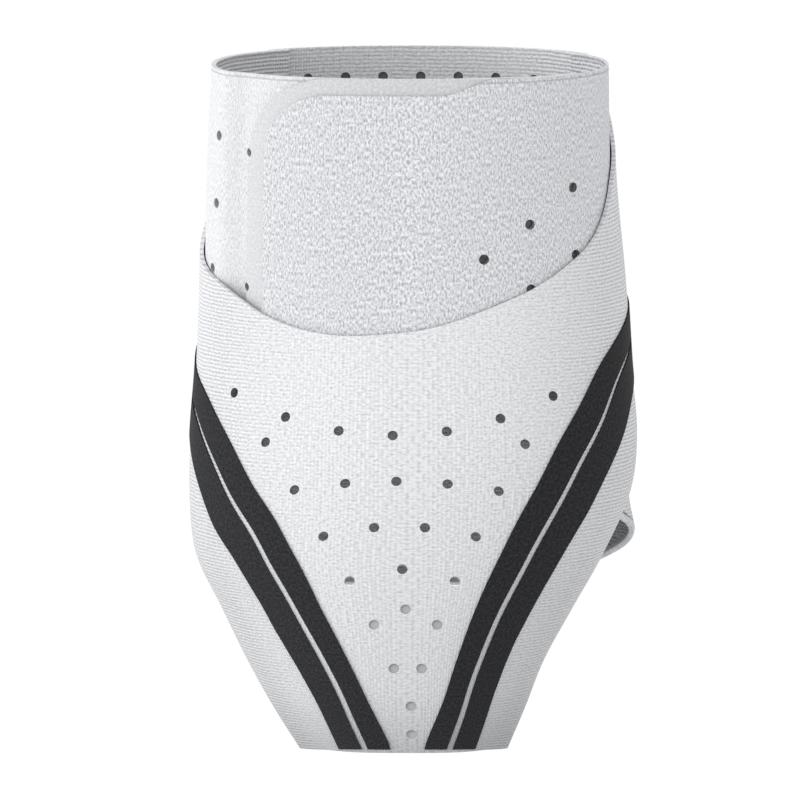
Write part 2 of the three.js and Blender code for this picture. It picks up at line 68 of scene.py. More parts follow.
# %% [markdown]
# ## The form
# The support is one bent tube. It could be lofted from curves or sculpted, but a formula keeps
# every layer parallel to the next one. A place on the form is named by two numbers: turn, the angle
# round the tube (0 at the front, 90 at the right of the picture), and down, the share of the way
# from the rim to the toe hem. Three named sections say how far front, back and sides stand out,
# the sections between are shares of them, and a smooth curve runs through them all.

# %% Sizes of the form, in millimetres
HEIGHT = (cad_high[2] - cad_low[2]) / MM
CUFF_WIDTH, CUFF_DEPTH = 101, 63
ANKLE_WIDTH, ANKLE_FRONT, ANKLE_FRONT_DROP = 112, 57, 98.5
HEEL_REACH, HEEL_DROP = 42, 116.5
FOOT_LENGTH, SOLE_REACH = 145, 25
TOE_WIDTH, TOE_SHIFT, TOE_DROP = 49.5, -1.5, 140.5
print("height:", round(HEIGHT, 1), "mm")

# %% Sections of the form
FRONT, FRONT_DROP, BACK, BACK_DROP, LEFT, RIGHT, SQUARE = range(7)
CUFF = (CUFF_DEPTH / 2, 0, CUFF_DEPTH / 2, 0, CUFF_WIDTH / 2, CUFF_WIDTH / 2, 2.25)
ANKLE = (
    ANKLE_FRONT, ANKLE_FRONT_DROP, HEEL_REACH, HEEL_DROP, ANKLE_WIDTH / 2, ANKLE_WIDTH / 2, 2.2,
)
TOE = (
    FOOT_LENGTH - HEEL_REACH, TOE_DROP, -SOLE_REACH, HEIGHT,
    TOE_WIDTH / 2 - TOE_SHIFT, TOE_WIDTH / 2 + TOE_SHIFT, 2.8,
)
CUFF_TO_ANKLE = [
    (0, 0, 0, 0, 0, 0, 0),
    (0.02, 0.27, 0.05, 0.23, 0.3, 0.18, 0),
    (0.06, 0.54, 0.14, 0.485, 0.48, 0.72, 0.2),
    (0.22, 0.725, 0.43, 0.69, 0.68, 1.02, 0.6),
    (0.59, 0.88, 0.9, 0.855, 0.94, 1.32, 0.8),
]
ANKLE_TO_TOE = [
    (0, 0, 0, 0, 0, 0, 0),
    (0.23, 0.265, 0.12, 0.285, 0.07, 0.22, 0.2),
    (0.445, 0.5, 0.345, 0.5, 0.315, 0.48, 0.3),
    (0.64, 0.705, 0.565, 0.675, 0.54, 0.705, 0.5),
    (0.825, 0.88, 0.79, 0.84, 0.775, 0.86, 0.8),
    (1, 1, 1, 1, 1, 1, 1),
]


def sections_between(start, end, shares):
    """Sections whose sizes are shares of the way from one named section to the next."""
    start, end = np.array(start, float), np.array(end, float)
    return start + (end - start) * np.array(shares, float)


SECTIONS = np.vstack([
    sections_between(CUFF, ANKLE, CUFF_TO_ANKLE), sections_between(ANKLE, TOE, ANKLE_TO_TOE),
])
print(len(SECTIONS), "sections")


# %% A size of the form at any place
def section_size(column, down):
    """One size of the section at a share of the way down, smooth between the sections."""
    last = len(SECTIONS) - 1
    x = np.clip(down, 0, 1) * last
    k = np.minimum(np.floor(x).astype(int), last - 1)
    t = x - k
    sizes = SECTIONS[:, column]
    a, b = sizes[k], sizes[k + 1]
    before = np.where(k == 0, 2 * a - b, sizes[np.maximum(k - 1, 0)])
    after = np.where(k + 1 == last, 2 * b - a, sizes[np.minimum(k + 2, last)])
    ease = t * t * (3 - 2 * t)
    bend = (b - before) / 2 * t * (1 - t) ** 2 + (after - a) / 2 * t * t * (t - 1)
    return a * (1 - ease) + b * ease + bend


middle_drop = section_size(FRONT_DROP, np.array([0.5]))[0]
print("half-way down, the front has dropped", round(float(middle_drop), 1), "mm")

# %% A point of the form, with the lip that stands out beside the heel
HEEL_FLARE = 8.0
FLARE_TURN, FLARE_DOWN = 102, 0.588
FLARE_TURN_SPREAD, FLARE_DOWN_SPREAD = 15, 0.058
FLARE_FROM, FLARE_TO = 87, 97


def smoothstep(x, low, high):
    t = np.clip((x - low) / (high - low), 0, 1)
    return t * t * (3 - 2 * t)


def form_point(turn, down):
    """Points of the sleeve's outer face, in millimetres."""
    turn, down = np.broadcast_arrays(np.asarray(turn, float), np.asarray(down, float))
    angle = np.radians(turn)
    power = 2 / section_size(SQUARE, down)
    forward = np.sign(np.cos(angle)) * np.abs(np.cos(angle)) ** power
    aside = np.sign(np.sin(angle)) * np.abs(np.sin(angle)) ** power
    front, back = section_size(FRONT, down), section_size(BACK, down)
    front_drop, back_drop = section_size(FRONT_DROP, down), section_size(BACK_DROP, down)
    half = np.where(aside < 0, section_size(LEFT, down), section_size(RIGHT, down))
    away = ((turn % 360 - FLARE_TURN) / FLARE_TURN_SPREAD) ** 2
    away += ((down - FLARE_DOWN) / FLARE_DOWN_SPREAD) ** 2
    lip = HEEL_FLARE * smoothstep(turn % 360, FLARE_FROM, FLARE_TO) * np.exp(-away)
    x = aside * half + lip
    y = (back - front) / 2 - forward * (back + front) / 2
    drop = (back_drop + front_drop) / 2 - forward * (back_drop - front_drop) / 2
    return np.stack([x, y, -drop], axis=-1)


cuff_line = form_point(np.arange(0, 360, 2), 0)
print("cuff is", round(float(np.ptp(cuff_line[:, 0])), 1), "mm wide")

# %% Slopes of the form, and places beside a path
TURN_STEP, DOWN_STEP = 1.5, 0.006


def form_slopes(turn, down):
    """How the form runs per degree round and per whole length down, and the way it faces."""
    at = np.clip(down, 0, 1)
    upper, lower = np.maximum(at - DOWN_STEP, 0), np.minimum(at + DOWN_STEP, 1)
    around = form_point(turn + TURN_STEP, at) - form_point(turn - TURN_STEP, at)
    around = around / (2 * TURN_STEP)
    along = (form_point(turn, lower) - form_point(turn, upper)) / (lower - upper)[..., None]
    facing = np.cross(along, around)
    facing /= np.linalg.norm(facing, axis=-1, keepdims=True)
    return around, along, facing


def raised(turn, down, height):
    """Points at a height above the sleeve's outer face, in millimetres."""
    turn, down, height = np.broadcast_arrays(*(np.asarray(v, float) for v in (turn, down, height)))
    return form_point(turn, down) + form_slopes(turn, down)[2] * height[..., None]


def aside_of(place, heading, distance):
    """Places a distance aside from a path's places, square to the way that it heads."""
    around, along, facing = form_slopes(place[:, 0], place[:, 1])
    way = around * heading[:, :1] + along * heading[:, 1:]
    side = np.cross(facing, way)
    side *= (distance / np.linalg.norm(side, axis=-1))[:, None]
    e, f, g = (around * around).sum(-1), (around * along).sum(-1), (along * along).sum(-1)
    across, deep = (side * around).sum(-1), (side * along).sum(-1)
    scale = e * g - f * f
    shift = np.stack([(across * g - deep * f) / scale, (deep * e - across * f) / scale], axis=-1)
    return place + shift


front_facing = form_slopes(np.array([0.0]), np.array([0.0]))[2][0]
print("the cuff's front faces", [round(float(x), 2) for x in front_facing])

# %% [markdown]
# ## Edges and paths
# The sleeve's top edge dips in a U at the front, where the flaps come out of it. The pair of dark
# bands runs from the toe hem round the back of the ankle and down again. The heel opening is a
# rounded lens. Each could be traced as a curve in space, but a short list of places on the form,
# joined by a smooth curve, keeps to the cloth by itself.

# %% Depths down the front
FRONT_EDGE_DROP = 61.5
down_steps = np.linspace(0, 1, 201)
front_drops = section_size(FRONT_DROP, down_steps)


def down_at_drop(drop):
    """The share of the way down at which the form's front has dropped so many millimetres."""
    return float(np.interp(drop, front_drops, down_steps))


EDGE_DOWN = down_at_drop(FRONT_EDGE_DROP)
print("lowest point of the top edge:", round(EDGE_DOWN, 4))

# %% The sleeve's top edge
EDGE_MIDDLE = -15
EDGE_TURNS = np.array([
    -122, -114, -106, -97, -88, -75, -58, -46, -34, -24, -10, 0, 13, 21, 33, 48, 59, 69, 78, 85,
    92, 99, 107, 116, 126, 134,
], float)
EDGE_DROPS = np.array([
    0, 0.14, 0.32, 0.48, 0.6, 0.69, 0.755, 0.795, 0.853, 0.917, 0.98, 1, 0.982, 0.945, 0.866,
    0.776, 0.705, 0.643, 0.57, 0.5, 0.42, 0.36, 0.3, 0.21, 0.09, 0,
])


def smooth_row(xs, ys, x):
    """A smooth value between the columns of a table, without overshoot."""
    rise = np.diff(ys) / np.diff(xs)
    slope = np.zeros(len(xs))
    product = rise[:-1] * rise[1:]
    total = np.where(np.abs(rise[:-1] + rise[1:]) < 1e-12, 1, rise[:-1] + rise[1:])
    slope[1:-1] = np.where(product > 0, 2 * product / total, 0)
    x = np.clip(x, xs[0], xs[-1])
    k = np.clip(np.searchsorted(xs, x, side="right") - 1, 0, len(xs) - 2)
    span = xs[k + 1] - xs[k]
    t = (x - xs[k]) / span
    ease = t * t * (3 - 2 * t)
    bend = slope[k] * span * t * (1 - t) ** 2 + slope[k + 1] * span * t * t * (t - 1)
    return ys[k] * (1 - ease) + ys[k + 1] * ease + bend


def from_middle(turn):
    return (turn - EDGE_MIDDLE + 180) % 360 - 180


def top_edge(turn):
    return EDGE_DOWN * smooth_row(EDGE_TURNS, EDGE_DROPS, from_middle(turn))


front_slope = form_slopes(np.array([0.0]), np.array([EDGE_DOWN / 2]))[1]
DOWN_PER_MM = 1 / float(np.linalg.norm(front_slope))
LAP = 9.0
EDGE_HALF_SPAN = CUFF_WIDTH / 2 * math.sqrt(2)


def flap_edge(turn):
    """A flap's lower edge, which runs under the sleeve's top edge on every side."""
    under = EDGE_MIDDLE + from_middle(turn) / (1 + LAP / EDGE_HALF_SPAN)
    return top_edge(under) + LAP * DOWN_PER_MM


print("the flaps reach", LAP, "mm behind the sleeve")

# %% Places along the bands and round the heel opening
BAND_PATH = [
    (-14.8, 1.012), (-19.3, 0.869), (-24.0, 0.781), (-29.0, 0.7), (-33.0, 0.624), (-38.8, 0.559),
    (-48.3, 0.497), (-58.2, 0.432), (-71, 0.376), (-84, 0.345), (-101, 0.308), (-122, 0.268),
    (-148, 0.232), (-178, 0.214), (-210, 0.216), (-238, 0.228), (-261, 0.25), (-280, 0.275),
    (-296.0, 0.315), (-306.8, 0.368), (-315.8, 0.426), (-322.1, 0.492), (-327.2, 0.557),
    (-331.1, 0.626), (-334.2, 0.7), (-336.9, 0.781), (-340.4, 0.869), (-345.4, 1.012),
]
HEEL_RIM = [
    (0, 0.68), (28, 0.675), (50, 0.66), (66, 0.64), (74, 0.61), (80, 0.578), (85, 0.552),
    (90.5, 0.537), (94.5, 0.55), (95.5, 0.59), (94, 0.635), (88, 0.68), (74, 0.73), (48, 0.79),
    (24, 0.83), (0, 0.845),
]
HEEL_LEFT_REACH = 0.94
# Down counts a hundred times, so that a curve treats both numbers of a place alike
PLACE_SCALES = (1, 100)


def curve_through(points, closed, count):
    """Points and headings along a smooth curve through a list of places."""
    rows = np.array(points, float) * PLACE_SCALES
    if closed:
        rows = np.vstack([rows[-1], rows, rows[0], rows[1]])
    else:
        rows = np.vstack([2 * rows[0] - rows[1], rows, 2 * rows[-1] - rows[-2]])
    gaps = np.linalg.norm(np.diff(rows, axis=0), axis=1) ** 0.5
    spans = len(rows) - 3
    s = np.linspace(0, spans, count)
    k = np.minimum(s.astype(int), spans - 1)
    t = (s - k)[:, None]
    before, a, b, after = (rows[k + i] for i in range(4))
    g0, g1, g2 = (gaps[k + i][:, None] for i in range(3))
    start = g1 * ((a - before) / g0 - (b - before) / (g0 + g1) + (b - a) / g1)
    end = g1 * ((b - a) / g1 - (after - a) / (g1 + g2) + (after - b) / g2)
    point = (
        a * (1 - 3 * t**2 + 2 * t**3) + b * (3 * t**2 - 2 * t**3)
        + start * (t - 2 * t**2 + t**3) + end * (t**3 - t**2)
    )
    heading = (
        (b - a) * 6 * (t - t**2) + start * (1 - 4 * t + 3 * t**2) + end * (3 * t**2 - 2 * t)
    )
    return point / PLACE_SCALES, heading / PLACE_SCALES


rim_places = [(180 - back, down) for back, down in HEEL_RIM]
rim_places += [(180 + back * HEEL_LEFT_REACH, down) for back, down in HEEL_RIM[-2:0:-1]]
print(len(BAND_PATH), "places on the bands,", len(rim_places), "round the heel opening")

# %% [markdown]
# ## A helper for cloth
# Every sheet starts as a flat bmesh grid. Its points are moved onto the form, its two ends are
# merged where it closes into a tube, and its UV map keeps the real lengths round and down in
# metres. A sheet could also be shrink-wrapped onto the solid, but its squares would creep, and a
# knit keeps its true scale only on even ones.

# %% Grid helper
GIRTH = 330.0
# The ribs are flat at the front, deepest at the sides and shallow at the back. The depth also sets
# how much painted shade darkens their grooves
RIB_TURNS, RIB_DEPTHS = [18, 58, 120, 150], [0, 1, 1, 0.4]
turn_steps = np.arange(0, 360, 10.0)
ring_points = form_point(turn_steps[None, :], down_steps[:, None])
ring_gaps = np.linalg.norm(np.diff(ring_points, axis=0), axis=-1).mean(axis=1)
ring_lengths = np.concatenate([[0], np.cumsum(ring_gaps)])


def cloth_grid(name, columns, rows, place, closed=False, trim=None):
    """A grid whose shares a (round) and b (down) are put in place by place(a, b)."""
    bm = bmesh.new()
    bmesh.ops.create_grid(bm, x_segments=columns, y_segments=rows, size=0.5)
    bm.verts.ensure_lookup_table()
    a = np.array([v.co.x + 0.5 for v in bm.verts])
    b = np.array([0.5 - v.co.y for v in bm.verts])
    turn, down, height = place(a, b)
    if trim:
        turn, down, height = trim(bm, turn, down, height)
    points = raised(turn, down, height) * MM
    uv = bm.loops.layers.uv.new("cloth")
    rib = bm.verts.layers.float.new("rib_depth")
    u = np.asarray(turn, float) / 360 * GIRTH * MM
    v = np.interp(down, down_steps, ring_lengths) * MM
    depth = np.interp(np.abs((turn + 180) % 360 - 180), RIB_TURNS, RIB_DEPTHS)
    for vert in bm.verts:
        i = vert.index
        vert[rib] = depth[i]
        for loop in vert.link_loops:
            loop[uv].uv = (u[i], v[i])
    for vert, point in zip(bm.verts, points):
        vert.co = point
    if closed:
        bmesh.ops.remove_doubles(bm, verts=bm.verts, dist=1e-7)
    bmesh.ops.recalc_face_normals(bm, faces=bm.faces)
    mesh = bpy.data.meshes.new(name)
    bm.to_mesh(mesh)
    bm.free()
    piece = bpy.data.objects.new(name, mesh)
    bpy.context.scene.collection.objects.link(piece)
    return piece


print("the cloth is", round(float(ring_lengths[-1]), 1), "mm long on average")

# %% Wall helpers
AXIS_SHARE = 0.3


def face_outwards(piece):
    """Turns an open sheet's faces away from an axis that stands a share of the way out to them."""
    mesh = piece.data
    total = 0
    for face in mesh.polygons:
        axis = Vector((0, face.center.y * AXIS_SHARE, face.center.z))
        total += face.normal.dot(face.center - axis) * face.area
    if total < 0:
        mesh.flip_normals()


def modifier(piece, kind, **settings):
    made = piece.modifiers.new(kind.lower(), kind)
    for key, value in settings.items():
        setattr(made, key, value)


def apply_modifiers(piece):
    """Keeps what the modifiers make as the piece's own mesh."""
    bpy.context.view_layer.update()
    evaluated = piece.evaluated_get(bpy.context.evaluated_depsgraph_get())
    mesh = bpy.data.meshes.new_from_object(evaluated)
    piece.modifiers.clear()
    piece.data = mesh


def thicken(piece, wall, shade=None):
    """Gives a sheet its wall, inwards from the face it was drawn on, and its shades.

    shade(down_mm, inner) gives the painted shade, from 0, the piece's own colour, to 1, black.
    """
    face_outwards(piece)
    outer = len(piece.data.polygons)
    modifier(piece, "SOLIDIFY", thickness=wall * MM, offset=-1, use_even_offset=False)
    apply_modifiers(piece)
    mesh = piece.data
    face_of_loop = np.repeat(
        np.arange(len(mesh.polygons)), [len(polygon.vertices) for polygon in mesh.polygons]
    )
    inner = (face_of_loop >= outer) & (face_of_loop < 2 * outer)
    values = np.zeros(len(mesh.loops), np.float32)
    if shade:
        places = np.zeros(2 * len(mesh.loops), np.float32)
        mesh.uv_layers["cloth"].data.foreach_get("uv", places)
        values = shade(places[1::2] / MM, inner).astype(np.float32)
    mesh.attributes.new("shade", "FLOAT", "CORNER").data.foreach_set("value", values)
    return piece


def smooth(piece, angle=40):
    piece.data.shade_smooth()
    piece.data.set_sharp_from_angle(angle=math.radians(angle))


def tell(piece):
    """Prints what a finished piece has."""
    count = sum(len(p.vertices) - 2 for p in piece.data.polygons)
    print(piece.name, "has", count, "triangles")


print("every sheet carries cloth, rib_depth and shade")

# %% [markdown]
# ## Perforations
# Round holes let air through the cloth. They could be painted as dark dots, but real ones have
# walls that catch the light. So they are punched through the finished cloth: a cylinder stands on
# each hole's place, square to the cloth, all of them in one cutter, and a Boolean takes them out of
# the sheet. Their walls are darkened by painted shade. At the back of the cuff and near the toe no
# light comes through them, so those are sunk from both faces, and a thin membrane is left half-way.
# It carries painted shade: dark at the back of the cuff, for the shadowed space behind it, and grey
# near the toe, for the shaded cloth of the sole behind it.

# %% Hole places
HOLE_DIAMETER = 2.5
HOLE_PITCH = 13.0
HOLE_ROWS = [
    # middle, ends, aside, spacing, count
    (0.377, 0.327, -0.32, 1.0, 7),
    (0.393, 0.393, -0.28, 4.83, 2),
    (0.449, 0.468, -0.25, 0.94, 5),
    (0.5255, 0.544, -0.19, 0.925, 4),
    (0.5985, 0.6205, -0.14, 0.95, 3),
    (0.6715, 0.7015, -0.08, 0.565, 3),
    (0.791, 0.791, -0.04, 0.49, 2),
    (0.875, 0.875, 0.02, 0, 1),
    (0.951, 0.951, 0.03, 0, 1),
]
FLAP_HOLES = [(-67, 0.26), (-50, 0.31), (-67.5, 0.53), (-70.5, 0.79), (-50, 0.84)]
STRAP_HOLES = [(49.5, 0.445), (31.6, 0.575), (17.3, 0.705), (48.6, 0.71), (30.8, 0.83)]
BACK_HOLES = 7
BACK_HOLE_PITCH = 9.8
BACK_HOLE_SHIFT = 2.8
BACK_HOLE_DROP = 8.0


def turn_at(aside, down):
    """The angle at which the form stands a distance aside from the centre plane."""
    down = np.array([down])
    half = section_size(LEFT if aside < 0 else RIGHT, down)[0]
    power = section_size(SQUARE, down)[0] / 2
    return math.copysign(math.degrees(math.asin(min(abs(aside) / half, 1) ** power)), aside)


sleeve_holes = []
for middle, ends, aside, spacing, count in HOLE_ROWS:
    for k in range(count):
        offset = k - (count - 1) / 2
        down = middle + (ends - middle) * (offset / max((count - 1) / 2, 1)) ** 2
        sleeve_holes.append((turn_at((aside + offset * spacing) * HOLE_PITCH, down), down))
back_slope = form_slopes(np.array([180.0]), np.array([0.0]))[1]
back_down = BACK_HOLE_DROP / float(np.linalg.norm(back_slope))
back_holes = []
for k in range(BACK_HOLES):
    aside = BACK_HOLE_SHIFT + (k - (BACK_HOLES - 1) / 2) * BACK_HOLE_PITCH
    back_holes.append((180 - turn_at(aside, back_down), back_down))


def cuff_holes(rows):
    """The flaps' holes, whose drops are shares of the top edge's own at the front."""
    return [(turn, down_at_drop(share * FRONT_EDGE_DROP)) for turn, share in rows]


flap_holes, strap_holes = cuff_holes(FLAP_HOLES), cuff_holes(STRAP_HOLES)
print("holes in the sleeve:", len(sleeve_holes + back_holes))
print("holes in the flaps:", len(flap_holes + strap_holes))


# %% Punching
def hole_cutter(places, diameter, shades, sides=20, reach=14, sunk=0):
    """One mesh with a cylinder at each place, square to the cloth.

    shades say how much painted shade darkens each hole's wall. sunk moves the cylinders outwards, in
    millimetres.
    """
    bm = bmesh.new()
    shade = bm.loops.layers.float.new("shade")
    for turn, down in places:
        at, way = np.array([float(turn)]), np.array([float(down)])
        facing = Vector(form_slopes(at, way)[2][0])
        centre = (Vector(form_point(at, way)[0]) + facing * sunk) * MM
        matrix = Matrix.Translation(centre) @ facing.to_track_quat("Z", "Y").to_matrix().to_4x4()
        before = set(bm.faces)
        bmesh.ops.create_cone(
            bm, cap_ends=True, segments=sides, radius1=diameter / 2 * MM, radius2=diameter / 2 * MM,
            depth=reach * MM, matrix=matrix,
        )
        for face in set(bm.faces) - before:
            for loop in face.loops:
                loop[shade] = float(shades(down))
    mesh = bpy.data.meshes.new("cutter")
    bm.to_mesh(mesh)
    bm.free()
    cutter = bpy.data.objects.new("cutter", mesh)
    bpy.context.scene.collection.objects.link(cutter)
    return cutter


def cut(piece, cutter):
    """Takes the cutter out of the piece, then removes the cutter."""
    modifier(piece, "BOOLEAN", operation="DIFFERENCE", solver="EXACT", object=cutter)
    apply_modifiers(piece)
    bpy.data.objects.remove(cutter)


print("each hole is", HOLE_DIAMETER, "mm wide")

# %% [markdown]
# ## The sleeve
# The sleeve is one knitted tube, full height at the back and cut in a U at the front. It is drawn
# as a fine closed grid whose rows run from the top edge to the toe hem. A Boolean could open the
# heel, but it would leave slivers in the cloth. Instead the grid is split exactly where it crosses
# the heel rim, and what lies inside goes. Solidify gives the wall, and then the holes are punched.

# %% Open the heel
RIM_STEPS, HALVINGS = 481, 20
rim = curve_through(rim_places, True, RIM_STEPS)[0]
print("the rim's highest and lowest place:", rim[:, 1].min().round(3), rim[:, 1].max().round(3))


def in_heel(places):
    """Which places, given as turn and down, lie inside the heel opening's rim."""
    inside = np.zeros(len(places), bool)
    for (t0, d0), (t1, d1) in zip(rim[:-1], rim[1:]):
        if d0 != d1:
            crosses = (d0 > places[:, 1]) != (d1 > places[:, 1])
            at = t0 + (places[:, 1] - d0) * (t1 - t0) / (d1 - d0)
            inside ^= crosses & (places[:, 0] < at)
    return inside


def open_heel(bm, turn, down, height):
    """Splits the grid where it crosses the heel rim, and takes out the cloth inside the rim."""
    kept = ("turn", "down", "height")
    for values, name in zip((turn, down, height), kept):
        layer = bm.verts.layers.float.new(name)
        for v in bm.verts:
            v[layer] = values[v.index]
    places = np.stack([turn % 360, down], axis=-1)
    inside = in_heel(places)
    gone = [v for v in bm.verts if inside[v.index]]
    crossing = [(e, v) for v in gone for e in v.link_edges if not inside[e.other_vert(v).index]]
    outer = np.array([e.other_vert(v).index for e, v in crossing])
    inner = np.array([v.index for e, v in crossing])
    low, high = np.zeros(len(crossing)), np.ones(len(crossing))
    for _ in range(HALVINGS):
        middle = (low + high) / 2
        hit = in_heel(places[outer] + (places[inner] - places[outer]) * middle[:, None])
        low, high = np.where(hit, low, middle), np.where(hit, middle, high)
    on_rim = []
    for (edge, v), share in zip(crossing, high):
        on_rim.append(bmesh.utils.edge_split(edge, edge.other_vert(v), float(share))[1])
    bmesh.ops.connect_verts(bm, verts=on_rim)
    bmesh.ops.delete(bm, geom=gone, context="VERTS")
    bm.verts.index_update()
    found = []
    for name in kept:
        layer = bm.verts.layers.float[name]
        found.append(np.array([v[layer] for v in bm.verts]))
        bm.verts.layers.float.remove(layer)
    return found


# %% Shades of the sleeve
# Painted shade: the inner face is darker inside the tube, where little light reaches, and the outer
# face is darker towards the toe hem
LINING_DROPS, LINING_SHADES = [0, 8, 14, 30, 90, 104, 170], [0, 0.02, 0.2, 0.66, 0.66, 0.3, 0.3]
OUTSIDE_SHARES = [0.35, 0.5, 0.75, 0.88, 0.95, 1]
OUTSIDE_SHADES = [0, 0.05, 0.16, 0.22, 0.34, 0.45]
# Painted shade on the walls of the holes, and on the membranes left in blind holes
WELL_DOWNS, WELL_SHADES = [0.3, 0.5, 0.6, 0.65], [0.8, 0.75, 0.6, 0.42]
DEEP_WELL_SHADE, LIGHT_WELL_SHADE = 0.82, 0.45


def sleeve_shade(down, inner):
    """Painted shade: darker inside, darkest above the ankle, and a little darker outside towards the
    toe hem.
    """
    inside_shade = np.interp(down, LINING_DROPS, LINING_SHADES)
    outside = np.interp(down / ring_lengths[-1], OUTSIDE_SHARES, OUTSIDE_SHADES)
    return np.where(inner, inside_shade, outside)


def well_shade(down):
    """Painted shade on the walls of the holes, dark above and paler towards the toe."""
    return np.interp(down, WELL_DOWNS, WELL_SHADES)


def deep_shaded_well(down):
    """A hole that nothing pale lies behind, whose walls get a deep painted shade."""
    return DEEP_WELL_SHADE


def light_shaded_well(down):
    """A hole with pale cloth close behind it, whose walls get a light painted shade."""
    return LIGHT_WELL_SHADE


print("holes are shaded from", WELL_SHADES[0], "down to", WELL_SHADES[-1])

# %% Build the sleeve
SLEEVE_WALL = 1.0
BLIND_FROM = 0.65
# The membrane left half-way in the blind holes is a sheet of painted shade, dark at the back of the
# cuff and grey near the toe
BLIND_REACH, SHADE_MEMBRANE = 4.0, (-0.55, -0.45)


def sleeve_place(a, b):
    turn = 360 * a - 180
    edge = top_edge(turn)
    down = edge + (1 - edge) * b
    return turn, down, np.zeros_like(a)


sleeve = cloth_grid(
    "sleeve_knit", columns=216, rows=128, place=sleeve_place, closed=True, trim=open_heel,
)
thicken(sleeve, SLEEVE_WALL, sleeve_shade)
open_holes = [hole for hole in sleeve_holes if hole[1] < BLIND_FROM]
toe_holes = [hole for hole in sleeve_holes if hole[1] >= BLIND_FROM]
cut(sleeve, hole_cutter(open_holes, HOLE_DIAMETER, well_shade))
for sunk in (SHADE_MEMBRANE[0] - BLIND_REACH / 2, SHADE_MEMBRANE[1] + BLIND_REACH / 2):
    for holes, shades in ((back_holes, deep_shaded_well), (toe_holes, well_shade)):
        cut(sleeve, hole_cutter(holes, HOLE_DIAMETER, shades, reach=BLIND_REACH, sunk=sunk))
smooth(sleeve)
tell(sleeve)

# %% [markdown]
# ## The flaps
# Two flaps of brushed loop pile close the cuff. The under flap runs round the left and dips beneath
# the closing strap, whose rounded end lies at the front left on a smooth patch. A cloth simulation
# could press them together, but drawn depths are exact and never cut through each other. The
# strap is a little thinner than the CAD solid and lies closer to the patch, so that its end casts
# only the faint shadow of real cloth.

# %% Depths and ends of the layers
LAYER_GAP = 0.4
CLOSE_GAP = 0.15
STRAP_WALL, HOOK_WALL, FLAP_WALL = 0.7, 1.0, 1.2
STRAP_DEPTH = SLEEVE_WALL + LAYER_GAP
HOOK_DEPTH = STRAP_DEPTH + STRAP_WALL + CLOSE_GAP
FLAP_UNDER_HOOK = HOOK_DEPTH + HOOK_WALL + LAYER_GAP
STRAP_END, STRAP_CORNER, STRAP_TOP_MARGIN = -41.5, 15.5, 4.0
HOOK_MARGIN, HOOK_LENGTH = 5.5, 50.0
FLAP_END = 52
DIP_MARGIN, DIP_TURN = 3, 16
end_slope = form_slopes(np.array([STRAP_END]), np.array([0.0]))[0]
TURN_PER_MM = 1 / float(np.linalg.norm(end_slope))
strap_start = EDGE_MIDDLE + EDGE_TURNS[-1] + LAP * TURN_PER_MM / 2
flap_start = EDGE_MIDDLE + EDGE_TURNS[0] - LAP * TURN_PER_MM / 2
hook_start = STRAP_END - HOOK_MARGIN * TURN_PER_MM
hook_finish = hook_start + HOOK_LENGTH * TURN_PER_MM
print("depths in mm: strap", STRAP_DEPTH, "patch", HOOK_DEPTH, "flap", FLAP_UNDER_HOOK)

# %% Where the flaps lie
CROWDING = 0.6


def corner_drop(turn, end, corner, inset):
    """A flap's top edge near the rounded corner at its end."""
    reach = corner * TURN_PER_MM
    t = np.clip((end + reach - turn) / reach, 0, 1)
    return (inset + corner * (1 - np.sqrt(1 - t * t))) * DOWN_PER_MM


def crowded(a):
    """Shares that crowd towards a sheet's rounded end."""
    return a * (1 - CROWDING) + (1 - np.cos(a * math.pi / 2)) * CROWDING


def strap_place(a, b):
    turn = STRAP_END + (strap_start - STRAP_END) * crowded(a)
    inset = STRAP_TOP_MARGIN * smoothstep(hook_finish - turn, 0, DIP_TURN)
    top = corner_drop(turn, STRAP_END, STRAP_CORNER, inset)
    return turn, top + (flap_edge(turn) - top) * b, np.full_like(a, -STRAP_DEPTH)


def hook_place(a, b):
    turn = hook_start + (hook_finish - hook_start) * crowded(a)
    top = corner_drop(turn, hook_start, STRAP_CORNER + HOOK_MARGIN, 0)
    return turn, top + (flap_edge(turn) - top) * b, np.full_like(a, -HOOK_DEPTH)


FLAP_TURNS = np.array([
    hook_start - DIP_TURN, hook_start - DIP_MARGIN,
    hook_finish + DIP_MARGIN, hook_finish + DIP_TURN,
])
FLAP_DEPTHS = np.array([STRAP_DEPTH, FLAP_UNDER_HOOK, FLAP_UNDER_HOOK, HOOK_DEPTH])


def flap_place(a, b):
    turn = flap_start + (FLAP_END - flap_start) * a
    return turn, flap_edge(turn) * b, -smooth_row(FLAP_TURNS, FLAP_DEPTHS, turn)


print("the strap starts at turn", round(strap_start, 1), "and ends at", STRAP_END)

# %% Build the flaps
# Painted shade on the inner faces of the flaps, strap and patch
CUFF_DROPS, CUFF_SHADES = [0, 10, 16, 30], [0.02, 0.04, 0.2, 0.6]
DEEP_REACH = 20


def cuff_shade(down, inner):
    """Painted shade on the inside of the cuff, light at the rim and darker below."""
    return np.where(inner, np.interp(down, CUFF_DROPS, CUFF_SHADES), 0)


strap = cloth_grid("closing_strap_pile", columns=170, rows=70, place=strap_place)
hook = cloth_grid("hook_tab_smooth", columns=80, rows=60, place=hook_place)
flap = cloth_grid("under_flap_pile", columns=150, rows=64, place=flap_place)
for piece, wall in ((strap, STRAP_WALL), (hook, HOOK_WALL), (flap, FLAP_WALL)):
    thicken(piece, wall, cuff_shade)
cut(strap, hole_cutter(strap_holes, HOLE_DIAMETER, deep_shaded_well))
cut(hook, hole_cutter(flap_holes + strap_holes, HOLE_DIAMETER, light_shaded_well))
cut(flap, hole_cutter(flap_holes, HOLE_DIAMETER, light_shaded_well, reach=DEEP_REACH))
cut(flap, hole_cutter(strap_holes, HOLE_DIAMETER, deep_shaded_well, reach=DEEP_REACH))
for piece in (strap, hook, flap):
    smooth(piece)
    tell(piece)

